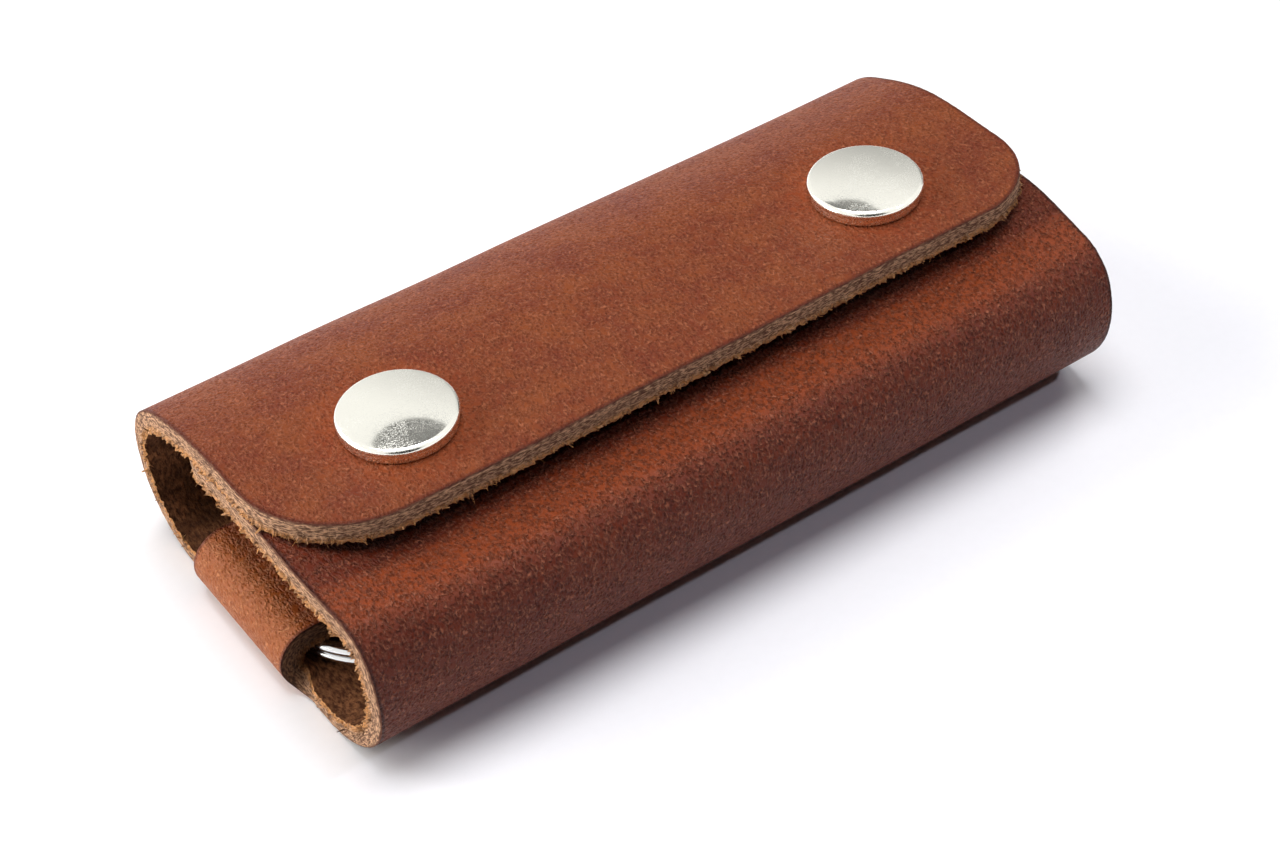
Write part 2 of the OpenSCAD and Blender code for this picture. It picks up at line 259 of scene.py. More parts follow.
def ease(value, low, high):
    t = min(max((value - low) / (high - low), 0), 1)
    return t * t * (3 - 2 * t)


def roughen(walls):
    for v, way in walls:
        deep = min(-v.co.z / LEATHER, 1)
        drawn_in = RIM_IN * max(0, 1 - deep / RIM_SHARE)
        clumps = noise.noise(v.co / CLUMP) + CRUMB_SHARE * noise.noise(v.co / CRUMB)
        v.co += way * (clumps * MM * (SMOOTH_ROW + ROUGH_ROW * deep ** 2) - drawn_in)
        if deep > HANG_SHARE:
            v.co.z += (noise.noise(v.co / HANG_LENGTH) - HANG_MEAN) * HANG


def draw_out(bm, faces, taper, lengths, lean):
    """Pulls each face out into a point of its own."""
    made = bmesh.ops.extrude_discrete_faces(bm, faces=faces)["faces"]
    for f in made:
        centre = f.calc_center_median()
        way = Vector((dice.gauss(0, lean), dice.gauss(0, lean), dice.gauss(DROOP, lean)))
        way = (f.normal + way).normalized() * dice.uniform(*lengths)
        for v in f.verts:
            v.co = centre + (v.co - centre) * taper + way


def fringe(bm, seams):
    def wall_faces(chance):
        return [f for f in bm.faces if f.material_index == EDGE
                and not seams(f.calc_center_median())
                and dice.random() < chance(-f.calc_center_median().z / LEATHER)]

    tufts = wall_faces(lambda deep: TUFTS_SHARE * ease(deep, 0.55, 1.0))
    draw_out(bm, tufts, **TUFT)
    bm.normal_update()
    roots = wall_faces(lambda deep: FIBRES_SHARE * TUFTS_SHARE * ease(deep, 0.35, 0.95))
    bmesh.ops.inset_individual(bm, faces=roots, thickness=FIBRE_ROOT)
    draw_out(bm, roots, **FIBRE)
    print("tufts", len(tufts), "fibres", len(roots))


# %% [markdown]
# Each point keeps its place in the flat cut as an attribute, so that every pattern lies in
# the leather and bends with it. Another attribute is its distance from the nearest cut edge,
# for the dark line that the cutter presses along the grain.

# %% Attributes and the flesh side's nap
NAP_HIGH, NAP_LENGTH = 0.07 * MM, 0.9 * MM


def mark(bm, seams):
    flat = bm.verts.layers.float_vector.new("flat")
    rim = bm.verts.layers.float.new("rim")
    cut = [v.co for v in bm.verts if v.co.z > -GRAIN_ROW and not seams(v.co) and on_wall(v)]
    tree = kdtree.KDTree(len(cut))
    for i, co in enumerate(cut):
        tree.insert((co.x, co.y, 0), i)
    tree.balance()
    for v in bm.verts:
        v[flat] = v.co / MM
        v[rim] = tree.find((v.co.x, v.co.y, 0))[2] / MM
        if all(f.material_index == FLESH for f in v.link_faces):
            v.co.z += noise.noise(v.co / NAP_LENGTH) * NAP_HIGH
    for f in bm.faces:
        f.smooth = True
    for e in bm.edges:
        e.smooth = len({f.material_index for f in e.link_faces}) == 1
    return flat


# %% [markdown]
# ## Wrapping
#
# Wrapped leather isn't a perfect extrusion. It is pressed thinner where a socket is seated
# and springs up a little round the snaps, its surface waves gently, the flap's ends spread a
# little wider than the front's, the shoulder leans in towards the right end, and beyond the
# snaps the cover rises until it meets the flap. These small departures are added to the
# path's section, each over a stretch of the wrap, given as two distances along the grain.

# %% The leather's own shape
SNAP_X, SNAP_Y = 29.25 * MM, -3.1 * MM
CAP_R = 6.25 * MM
FLAP_SNAP_FAR = BACK[6][0] - CAP_R
SEAT, SEAT_R, SEAT_EDGE = 1.87 * MM, 5.6 * MM, 0.7 * MM
SEAT_DEPTHS = (LEATHER / 2, LEATHER * 0.9)
WAVE_HIGH, WAVE_LENGTH, WAVE_SLICE = 0.2 * MM, 17 * MM, 0.02
CAP_TO_WAVE, CAP_TO_PILLOW, PILLOW = 6 * MM, 5 * MM, 0.14 * MM
LEAN, SPREAD, SLIM = 0.5 * MM, 0.009, 0.007
LEFT_FLARE, RIGHT_FLARE, FLARE_X = 2.2 * MM, 1.95 * MM, 33 * MM
BACK_FREE, FLAP_PILLOWS, FLAP_SPREADS = (16 * MM, 26 * MM), (40 * MM, 50 * MM), (20 * MM, 45 * MM)
LEANS_IN, LEAN_ENDS = (20 * MM, 34 * MM), (44 * MM, 56 * MM)
FRONT_FREE, FRONT_HELD, FRONT_SLIMS = (18 * MM, 28 * MM), (36 * MM, 44 * MM), (14 * MM, 26 * MM)
COVER_SPREADS, LEFT_RISES, RIGHT_RISES = (36 * MM, 50 * MM), (31 * MM, 53 * MM), (36 * MM, 52 * MM)


def from_snap(x, y):
    return min(math.hypot(x - side * SNAP_X, y - SNAP_Y) for side in (-1, 1))


def waves(x, far):
    """Gentle unevenness of the grain, in metres."""
    return WAVE_HIGH * noise.noise(Vector((x, far, WAVE_SLICE)) / WAVE_LENGTH)


def flap_place(x, far, depth):
    y, z = walk(BACK, far, depth)
    away = from_snap(x, y)
    if far > FLAP_SNAP_FAR - SEAT_R - SEAT_EDGE:
        seated = 1 - ease(away, SEAT_R, SEAT_R + SEAT_EDGE)
        z += (LEATHER - SEAT) * seated * ease(depth, *SEAT_DEPTHS)
    wave = waves(x, far) * ease(far, *BACK_FREE) * ease(away, CAP_R, CAP_R + CAP_TO_WAVE)
    pillow = PILLOW * ease(away, CAP_R, CAP_R + CAP_TO_PILLOW) * ease(far, *FLAP_PILLOWS)
    lean = LEAN * ease(x, -HALF, HALF) * ease(far, *LEANS_IN) * (1 - ease(far, *LEAN_ENDS))
    return Vector((x * (1 + SPREAD * ease(far, *FLAP_SPREADS)), y - lean / 2,
                   z + wave + pillow - lean))


def cover_place(x, far, depth):
    y, z = walk(FRONT, far, depth)
    flare, rises = (LEFT_FLARE, LEFT_RISES) if x < 0 else (RIGHT_FLARE, RIGHT_RISES)
    rise = flare * ease(abs(x), FLARE_X, HALF) * ease(far, *rises)
    wave = waves(x, -far) * ease(far, *FRONT_FREE) * (1 - ease(far, *FRONT_HELD))
    width = 1 - SLIM * ease(far, *FRONT_SLIMS) + (SLIM + SPREAD) * ease(far, *COVER_SPREADS)
    return Vector((x * width, -y - wave, z + rise))


# %% [markdown]
# ## Flap and cover
#
# The leather is one piece, but a mesh that follows two hinges can't bend smoothly across
# both. It is joined flat under the bottom, where nothing shows, into three meshes: the flap
# with the back, the cover with the front, and the bottom with the tongue. Attributes tell
# the grain where it was pressed by a snap and where it runs over a tight bend, for a painted
# highlight there. They also tell the cut edge where it lies in the tongue's fold, where it
# is drawn darker.

# %% Build the two bending pieces
SEAM_BACK, SEAM_FRONT = 13.4 * MM, 10.1 * MM
SEAM_WIDTH = 0.01 * MM
COVER_SNAP_FAR = FRONT[5][0] + FRONT[5][1] + SNAP_Y
FLAP_CORNERS, COVER_CORNERS = (12 * MM, 9.5 * MM), (4 * MM, 4 * MM)
POST_HOLE_R = 1.25 * MM
# The front's lighter band, a painted highlight, lies this far along the grain past the bend that
# makes it.
HIGHLIGHT_BAND_SHIFT = 4.5 * MM
# Leather below this height counts as 50 mm further from the snaps, out of the press.
SNAP_LOW, OUT_OF_PRESS = 15 * MM, 50


def finish_mesh(bm, name):
    mesh = bpy.data.meshes.new(name)
    bm.to_mesh(mesh)
    bm.free()
    piece = bpy.data.objects.new(name, mesh)
    bpy.context.scene.collection.objects.link(piece)
    return piece


def wrapped_piece(name, bm, seams, place, bent, front_side, folded=lambda x, y: 0):
    walls = thicken(bm, seams)
    roughen(walls)
    fringe(bm, seams)
    flat = mark(bm, seams)
    press = bm.verts.layers.float.new("press")
    # Over a tight bend the grain is drawn lighter: a painted highlight, with some of the pull-up
    # that stretched waxy leather shows.
    stretch_and_painted_highlight = bm.verts.layers.float.new("stretch_and_painted_highlight")
    in_fold = bm.verts.layers.float.new("folded")
    for v in bm.verts:
        v[stretch_and_painted_highlight] = bent(v.co.x, v.co.y)
        v[in_fold] = folded(v.co.x, v.co.y)
        v.co = place(v.co.x, v.co.y, -v.co.z)
        v[press] = from_snap(v.co.x, v.co.y) / MM + OUT_OF_PRESS * (v.co.z < SNAP_LOW)
        if front_side:
            x, far, deep = v[flat]
            v[flat] = (x, -far, deep)
    if not front_side:
        bmesh.ops.reverse_faces(bm, faces=bm.faces)
    return finish_mesh(bm, name)


def bending_piece(name, seam, path, radii, snap_far, highlight_band_shift, place, front_side):
    y_end = path[-1][0]
    bm = flat_grid(-HALF, HALF, seam, y_end)
    round_free_corners(bm, y_end, *radii)
    for side in (-1, 1):
        punch(bm, side * SNAP_X, snap_far, POST_HOLE_R)
    # The turn of the path sets the lighter band, a painted highlight over the bends.
    return wrapped_piece(
        name, bm, lambda co: co.y < seam + SEAM_WIDTH, place,
        lambda x, far: tightness(path, far - highlight_band_shift), front_side)


leather_flap = bending_piece(
    "leather_flap", SEAM_BACK, BACK, FLAP_CORNERS, FLAP_SNAP_FAR, 0, flap_place, False)
leather_cover = bending_piece(
    "leather_cover", SEAM_FRONT, FRONT, COVER_CORNERS, COVER_SNAP_FAR, HIGHLIGHT_BAND_SHIFT,
    cover_place, True)

# %% [markdown]
# ## Bottom and tongue
#
# The tongue grows out of the bottom's left edge. Its strip is extruded from that edge row by
# row, in the flat, and then shaped: full width round the ring, tapering to a rounded end for
# the rivet. The corners at its root get a fillet, as a leather worker's knife leaves them so
# that the cut doesn't tear.

# %% Cut the bottom with its tongue
TONGUE_Y, TONGUE_HALF, TONGUE_END_HALF = 2.15 * MM, 9.25 * MM, 4.58 * MM
TAPERS = (15.1 * MM, 18.4 * MM)
FOLD_X = -44.345 * MM
# Round the ring, back over it, down by two bends, and flat on the bottom for the rivet.
TONGUE = bends(arc(3.755, 180), (5.345, 0), arc(3.4, 40), (2.386, 0), arc(-1.2, 40),
               (8.8, 0))
TONGUE_LENGTH = TONGUE[-1][0]
ROOT_FILLET = 3 * MM
FOLD_FADE = 3.5 * MM
RIVET_X, RIVET_HOLE_R = -29.984 * MM, 1.6 * MM


def extrude_tongue(bm):
    rows = round((HALF + FOLD_X - TONGUE_LENGTH) / -PITCH)
    step = (HALF + FOLD_X - TONGUE_LENGTH) / rows
    front = [e for e in bm.edges if e.is_boundary and all(
        v.co.x < -HALF + NEAR and abs(v.co.y - TONGUE_Y) < TONGUE_HALF + NEAR
        for v in e.verts)]
    for _ in range(rows):
        made = bmesh.ops.extrude_edge_only(bm, edges=front)["geom"]
        front = [e for e in made if isinstance(e, bmesh.types.BMEdge)]
        moved = [v for v in made if isinstance(v, bmesh.types.BMVert)]
        bmesh.ops.translate(bm, vec=(step, 0, 0), verts=moved)


def shape_tongue(bm):
    """Narrows the strip and rounds its end."""
    round_from = TONGUE_LENGTH - TONGUE_END_HALF
    for v in bm.verts:
        if v.co.x > -HALF - NEAR:
            continue
        far = FOLD_X - v.co.x
        share = (v.co.y - TONGUE_Y) / TONGUE_HALF
        half = TONGUE_HALF + (TONGUE_END_HALF - TONGUE_HALF) * ease(far, *TAPERS)
        across = share * half
        if far > round_from:
            across, along = onto_disc(share * TONGUE_END_HALF, far - round_from)
            v.co.x = FOLD_X - round_from - along
        v.co.y = TONGUE_Y + across


def fillet_roots(bm):
    """Slides the border points next to each root corner onto an arc."""
    for v in [v for v in bm.verts if v.is_boundary]:
        side = math.copysign(1, v.co.y - TONGUE_Y)
        out = -HALF - v.co.x
        beyond = abs(v.co.y - TONGUE_Y) - TONGUE_HALF
        on_tongue = -NEAR < out < ROOT_FILLET and abs(beyond) < NEAR
        on_bottom = abs(out) < NEAR and -NEAR < beyond < ROOT_FILLET
        if on_tongue or on_bottom:
            way = out if on_tongue else -beyond
            turn = math.radians(45) * (1 + way / ROOT_FILLET)
            v.co.x = -HALF - ROOT_FILLET * (1 - math.cos(turn))
            v.co.y = TONGUE_Y + side * (TONGUE_HALF + ROOT_FILLET * (1 - math.sin(turn)))


def bottom_place(x, y, depth):
    lying = Vector((x, y, depth))
    far = FOLD_X - x
    if far <= 0:
        return lying
    out, up = walk(TONGUE, far, depth)
    held = 1 - ease(abs(y - TONGUE_Y), TONGUE_HALF, TONGUE_HALF + FOLD_FADE)
    return lying.lerp(Vector((FOLD_X - out, y, up)), held)


def in_the_fold(x, y):
    """1 on the tongue, fading to 0 along the fillets at its root."""
    return (x < 0) * (1 - ease(abs(y - TONGUE_Y), TONGUE_HALF, TONGUE_HALF + ROOT_FILLET))


def bottom_seams(co):
    on_seam = min(abs(co.y - SEAM_BACK), abs(co.y + SEAM_FRONT)) < SEAM_WIDTH
    return on_seam and co.x > -HALF - PITCH


bm = flat_grid(-HALF, HALF, -SEAM_FRONT, SEAM_BACK)
extrude_tongue(bm)
shape_tongue(bm)
fillet_roots(bm)
punch(bm, RIVET_X, TONGUE_Y, RIVET_HOLE_R)
punch(bm, FOLD_X - TONGUE_LENGTH + TONGUE_END_HALF, TONGUE_Y, RIVET_HOLE_R)
leather_bottom = wrapped_piece(
    "leather_bottom", bm, bottom_seams, bottom_place,
    lambda x, y: tightness(TONGUE, FOLD_X - x), False, in_the_fold)
for piece in (leather_flap, leather_cover, leather_bottom):
    print(piece.name, len(piece.data.polygons), "faces")

# %% [markdown]
# ## Turned metal parts
#
# Snap and rivet parts are pressed from sheet metal and are round, so each is a profile spun
# about its own axis. The profile is drawn as it would be on a tool drawing: radius and
# height, with an arc wherever the metal is rolled.

# %% Spin a profile
TURN_STEPS = 96
WELD = 0.001 * MM
SHARP_TURN = math.radians(28)


def bow(radius_at, height_at, radius, start, end, count=8):
    """Points of an arc in a profile, angles in degrees from the outward direction."""
    angles = [math.radians(start + (end - start) * i / count) for i in range(count + 1)]
    return [(radius_at + radius * math.cos(a), height_at + radius * math.sin(a))
            for a in angles]


def turned(name, profile, x, y, closed=False):
    bm = bmesh.new()
    points = [Vector((r * MM, 0, z * MM)) for r, z in profile]
    first = last = bmesh.ops.create_vert(bm, co=points[0])["vert"][0]
    for point in points[1:]:
        last = bmesh.ops.extrude_vert_indiv(bm, verts=[last])["verts"][0]
        last.co = point
    if closed:
        bm.edges.new((last, first))
    bmesh.ops.spin(bm, geom=bm.verts[:] + bm.edges[:], cent=(0, 0, 0), axis=(0, 0, 1),
                   angle=math.tau, steps=TURN_STEPS, use_merge=True)
    bmesh.ops.remove_doubles(bm, verts=bm.verts, dist=WELD)
    bmesh.ops.recalc_face_normals(bm, faces=bm.faces)
    bmesh.ops.translate(bm, vec=(x, y, 0), verts=bm.verts)
    for f in bm.faces:
        f.smooth = True
    for e in bm.edges:
        e.smooth = e.calc_face_angle(0) < SHARP_TURN
    return finish_mesh(bm, name)


# %% [markdown]
# ## Snap parts
#
# On the real snap a domed cap with a hollow post sits on the grain. The post goes through
# the flap and is clinched into a socket with a wire spring. The cover carries a stud, held
# by an eyelet from behind. All of them can be seen when the case is open.

# %% Caps, sockets, springs, studs and eyelets
# Heights and the measures of the profiles are in mm.
FLAP_Z, COVER_Z = 23.49, 18.74
STUD_SUNK, STUD_PLATE, STUD_NECK = 0.55, 0.7, 1.75
STUD_LOW = COVER_Z - STUD_SUNK
STUD_SEAT = STUD_LOW + STUD_PLATE
STUD_TOP = STUD_SEAT + STUD_NECK
MOUTH_Z = STUD_SEAT + 0.1
SOCKET_BACK_Z = MOUTH_Z + 2.6
CAP_HIGH, DOME_R = 2.35, 36.33
SPRING_R, SPRING_HALF, SPRING_APART, SPRING_UP = 0.25 * MM, 2.45 * MM, 2.3 * MM, 0.7


def cap_profile():
    crown, plate = FLAP_Z + CAP_HIGH, SOCKET_BACK_Z - 0.3
    return ([(0, crown)] + bow(0, crown - DOME_R, DOME_R, 89.5, 81.0, 14)[:-1]
            + bow(5.7, FLAP_Z + 1.35, 0.55, 81, -50, 20)
            + bow(5.81, FLAP_Z + 0.26, 0.25, 0, -90, 6)
            + [(1.8, FLAP_Z), (1.8, plate + 0.15), (2.45, plate)]
            + bow(2.3, plate - 0.2, 0.25, 20, -90, 5) + [(1.5, plate - 0.45)]
            + bow(1.5, plate - 0.3, 0.15, 270, 180, 3)
            + [(1.35, FLAP_Z + 0.2), (0, FLAP_Z + 0.2)])


def socket_profile():
    low = SOCKET_BACK_Z - 0.5
    return ([(1.85, SOCKET_BACK_Z)] + bow(5.35, SOCKET_BACK_Z - 0.15, 0.15, 90, 0, 4)
            + bow(5.35, low + 0.15, 0.15, 0, -90, 4)
            + [(4.5, low)] + bow(4.5, low - 0.3, 0.3, 90, 180, 5)
            + bow(3.8, MOUTH_Z + 0.4, 0.4, 0, -90, 8)
            + [(3.35, MOUTH_Z + 0.06)] + bow(2.95, MOUTH_Z + 0.2, 0.2, 270, 90, 8)
            + [(3.7, MOUTH_Z + 0.4), (3.7, SOCKET_BACK_Z - 0.3), (1.85, SOCKET_BACK_Z - 0.3)])


def stud_profile():
    low, top = STUD_LOW, STUD_TOP
    return ([(1.25, low), (4.8, low), (4.8, low + 0.35)]
            + bow(4.5, low + 0.4, 0.3, 0, 90, 5) + [(2.6, STUD_SEAT)]
            + bow(2.05, low + 1.2, 0.5, 270, 180, 6)
            + bow(1.32, top - 0.58, 0.58, -45, 90, 9) + [(1.25, top)])


def eyelet_profile():
    high = COVER_Z - LEATHER / MM + 0.4
    low = high - 0.7
    return ([(0.85, low - 0.25)] + bow(3.0, low + 0.45, 0.7, 270, 310, 5)
            + bow(4.0, high - 0.25, 0.2, -40, 40, 4)
            + [(4.1, high), (1.2, high), (1.2, STUD_TOP)]
            + bow(1.32, STUD_TOP + 0.07, 0.16, -20, 120, 6)
            + bow(1.05, STUD_TOP, 0.2, 90, 180, 4))


def spring_wires(x, y):
    """Two wires across the socket, their ends rounded."""
    bm = bmesh.new()
    for side in (-1, 1):
        made = bmesh.ops.create_uvsphere(
            bm, u_segments=16, v_segments=8, radius=SPRING_R,
            matrix=Matrix.Rotation(math.radians(90), 4, "X"))["verts"]
        for v in made:
            v.co.y += math.copysign(SPRING_HALF, v.co.y) if abs(v.co.y) > SPRING_R / 25 else 0
        bmesh.ops.translate(
            bm, vec=(x + side * SPRING_APART, y, (MOUTH_Z + SPRING_UP) * MM), verts=made)
    for f in bm.faces:
        f.smooth = True
    return finish_mesh(bm, "spring")


snap_parts = []
for side_name, side in (("left", -1), ("right", 1)):
    place = (side * SNAP_X, SNAP_Y)
    snap_parts += [
        ("snap_cap_" + side_name, turned("cap", cap_profile(), *place),
         "flap", "cap_nickel"),
        ("snap_socket_" + side_name, turned("socket", socket_profile(), *place, closed=True),
         "flap", "snap_nickel"),
        ("snap_spring_" + side_name, spring_wires(*place), "flap", "spring_steel"),
        ("snap_stud_" + side_name, turned("stud", stud_profile(), *place, closed=True),
         "cover", "snap_nickel"),
        ("stud_post_" + side_name, turned("eyelet", eyelet_profile(), *place, closed=True),
         "cover", "snap_nickel")]
print("snap parts:", len(snap_parts))

# %% [markdown]
# ## Rivet and split ring
#
# The rivet holds the tongue's end down. The ring is one flat wire wound twice, with a step
# where one coil crosses to the other: its section is carried round by spins, level for most
# of each turn and rising only over the step.

# %% Rivet halves and the wound wire
RIVET_R = 3.98
RING_AT, RING_R = Vector((-32.6, -1.6, 0)) * MM, 12.5 * MM
WIRE_W, WIRE_H, WIRE_R = 1.6 * MM, 1.05 * MM, 0.5 * MM
COIL_LOW, COIL_RISE = 3.205 * MM, 1.1 * MM
# Turns are in degrees, from the wire's start.
WIRE_START, STEP_TURN, STEP_COUNT = 25, 2.5, 20
LEVEL_TURN, LEVEL_COUNT = 310, 124
WIRE_CORNER = math.radians(50)


def rivet_post_profile():
    return ([(0, 0.1)] + bow(3.48, 0.6, 0.5, 270, 360, 8)
            + [(RIVET_R, 0.92), (RIVET_R - 0.08, 1.0), (1.5, 1.0), (1.5, 5.4), (1.4, 5.5),
               (0, 5.5)])


def rivet_cap_profile():
    return ([(0, 6.0)] + bow(0, -7.0, 13.0, 87, 76.5, 8)
            + bow(3.5, 5.32, 0.48, 60, 0, 6)
            + [(RIVET_R, 4.98), (RIVET_R - 0.08, 4.9), (1.6, 4.9), (1.6, 5.55), (0, 5.55)])


def wind_ring():
    bm = bmesh.new()
    bmesh.ops.create_circle(bm, segments=20, radius=1)
    for v in bm.verts:
        across, up = v.co.x, v.co.y
        v.co = Vector((
            RING_R - WIRE_W / 2 + math.copysign(WIRE_W / 2 - WIRE_R, across) + WIRE_R * across,
            0, COIL_LOW + math.copysign(WIRE_H / 2 - WIRE_R, up) + WIRE_R * up))
    bmesh.ops.rotate(bm, cent=(0, 0, 0), verts=bm.verts,
                     matrix=Matrix.Rotation(math.radians(WIRE_START), 3, "Z"))
    start = bm.edges[:]
    front = bm.verts[:] + bm.edges[:]
    level = [(LEVEL_TURN, LEVEL_COUNT, 0)]
    climb = [(STEP_TURN, 1, COIL_RISE * (ease(i + 1, 0, STEP_COUNT) - ease(i, 0, STEP_COUNT)))
             for i in range(STEP_COUNT)]
    for degrees, steps, rise in level + climb + level:
        made = bmesh.ops.spin(
            bm, geom=front, cent=(0, 0, 0), axis=(0, 0, 1), dvec=(0, 0, rise),
            angle=math.radians(degrees), steps=steps, use_merge=False)
        front = made["geom_last"]
    end = [e for e in front if isinstance(e, bmesh.types.BMEdge)]
    for loop in (start, end):
        bmesh.ops.edgeloop_fill(bm, edges=loop)
    bmesh.ops.recalc_face_normals(bm, faces=bm.faces)
    bmesh.ops.translate(bm, vec=RING_AT, verts=bm.verts)
    for f in bm.faces:
        f.smooth = True
    for e in bm.edges:
        e.smooth = e.calc_face_angle(0) < WIRE_CORNER
    return finish_mesh(bm, "ring")


other_parts = [
    ("tongue_rivet_post", turned("rivet_post", rivet_post_profile(), RIVET_X, TONGUE_Y),
     "base", "rivet_nickel"),
    ("tongue_rivet_cap", turned("rivet_cap", rivet_cap_profile(), RIVET_X, TONGUE_Y),
     "base", "rivet_nickel"),
    ("split_ring", wind_ring(), "ring", "ring_steel")]
print("rivet and ring parts:", len(other_parts))

# %% [markdown]
# ## Node helpers
#
# A material is a small graph. Short helpers keep it readable: one makes a node with its
# inputs set or linked, the others mix two colours, ease a value from one range into another,
# and do one step of arithmetic.

# %% Helpers for materials


def add_node(tree, kind, inputs=None, **settings):
    made = tree.nodes.new(kind)
    for key, value in settings.items():
        setattr(made, key, value)
    for key, value in (inputs or {}).items():
        if isinstance(value, bpy.types.NodeSocket):
            tree.links.new(value, made.inputs[key])
        else:
            made.inputs[key].default_value = value
    return made


def mix_colours(tree, factor, first, second):
    made = add_node(tree, "ShaderNodeMix", {0: factor, 6: first, 7: second},
                    data_type="RGBA")
    return made.outputs[2]


def remap(tree, value, low, high, to_low=0.0, to_high=1.0):
    made = add_node(tree, "ShaderNodeMapRange", {
        "Value": value, "From Min": low, "From Max": high,
        "To Min": to_low, "To Max": to_high})
    made.interpolation_type = "SMOOTHSTEP"
    return made.outputs[0]


def maths(tree, operation, first, second=0.0):
    return add_node(tree, "ShaderNodeMath", {0: first, 1: second},
                    operation=operation).outputs[0]


def linear(red, green, blue):
    """A colour written as it is seen, 0 to 255, as the linear one that a shader needs."""
    def one(c):
        c /= 255
        return c / 12.92 if c <= 0.04045 else ((c + 0.055) / 1.055) ** 2.4
    return (one(red), one(green), one(blue), 1.0)


# %% [markdown]
# ## Leather
#
# Grain leather is a net of fine soft ridges round small dark pits, a few to the millimetre,
# drawn out a little round the wrap. It could be a bump alone, but the group also gives masks
# for colour and a height. The pits get a darker colour, partly the dye that gathers in them
# and partly painted shade. The ridges get a paler one, partly grain tone and partly a painted
# sheen on their tops. The pits come from a cell pattern, warped so that it doesn't look
# regular, and a slow noise makes them deeper in some places than in others. The ridges are a
# fine noise, broken up by a coarser one.

# %% The grain's group


def noise_of(tree, at, scale, detail, rough=0.5):
    return add_node(tree, "ShaderNodeTexNoise", {
        "Vector": at, "Scale": scale, "Detail": detail, "Roughness": rough}).outputs


def grain_group():
    group = bpy.data.node_groups.new("pitted grain", "ShaderNodeTree")
    face = group.interface
    face.new_socket("Flat", in_out="INPUT", socket_type="NodeSocketVector")
    size = face.new_socket("Pit spacing", in_out="INPUT", socket_type="NodeSocketFloat")
    size.default_value = 0.4
    for name in ("Pits", "Ridges", "Patches", "Height"):
        face.new_socket(name, in_out="OUTPUT", socket_type="NodeSocketFloat")
    given = add_node(group, "NodeGroupInput").outputs
    drawn = add_node(group, "ShaderNodeVectorMath", {
        0: given["Flat"], 1: (1.0, 0.68, 1.0)}, operation="MULTIPLY").outputs[0]
    push = add_node(group, "ShaderNodeVectorMath", {
        0: noise_of(group, drawn, 1.9, 3.0)["Color"], 1: (0.5, 0.5, 0.5)},
        operation="SUBTRACT")
    bent = add_node(group, "ShaderNodeVectorMath", {
        0: push.outputs[0], 1: (0.4, 0.4, 0.0), 2: drawn},
        operation="MULTIPLY_ADD").outputs[0]
    cells = add_node(group, "ShaderNodeTexVoronoi", {
        "Vector": bent, "Scale": maths(group, "DIVIDE", 1.0, given["Pit spacing"]),
        "Randomness": 0.85})
    holes = remap(group, cells.outputs["Distance"], 0.1, 0.62, 1.0, 0.0)
    deeper = remap(group, noise_of(group, given["Flat"], 0.7, 3.0)["Fac"], 0.3, 0.66, 0.7, 1.0)
    pits = maths(group, "MULTIPLY", holes, deeper)
    ridges = remap(group, noise_of(group, bent, 3.4, 3.0, 0.6)["Fac"], 0.42, 0.62)
    worms = remap(group, noise_of(group, bent, 1.3, 2.0, 0.6)["Fac"], 0.36, 0.64)
    ridges = maths(group, "MULTIPLY", ridges, worms)
    patches = noise_of(group, given["Flat"], 0.16, 6.0, 0.66)["Fac"]
    height = maths(group, "SUBTRACT", ridges, pits)
    add_node(group, "NodeGroupOutput", {
        "Pits": pits, "Ridges": ridges, "Patches": patches, "Height": height})
    return group


grain_effect = grain_group()

# %% [markdown]
# ## Grain, cut edge and flesh
#
# The grain side is darker in its pores and creases, partly their own tone and partly painted
# shade, and along the cut. Where the snaps were pressed, waxy leather turns lighter and more
# orange. Over a tight bend it is lighter too: a painted highlight, with some of the pull-up
# that stretched waxy leather shows. The front and the tongue are the same leather as the flap.
# The front's darker colours are painted shade, and the tongue's lighter, more orange ones are
# painted light. The cut edge has a thin dyed layer at the grain, then layered fibres, and
# golden tufts at the flesh side, and it is darkest round the tongue's fold. The flesh side is
# a dark, brushed nap.

# %% The leather's three faces
PIT_SHARE = 0.55
GRAIN_DEEP, EDGE_DEEP, NAP_DEEP = 0.13 * MM, 0.3 * MM, 0.15 * MM
# How much darker the cut edge is drawn round the tongue's fold.
FOLD_DARKENING = (0.34, 0.29, 0.25)


def new_material(name):
    material = bpy.data.materials.new(name)
    material.use_nodes = True
    material.node_tree.nodes.clear()
    return material, material.node_tree


def finish_material(tree, inputs):
    shader = add_node(tree, "ShaderNodeBsdfPrincipled", inputs)
    add_node(tree, "ShaderNodeOutputMaterial", {"Surface": shader.outputs[0]})


def attribute(tree, name, output):
    return add_node(tree, "ShaderNodeAttribute", attribute_name=name).outputs[output]


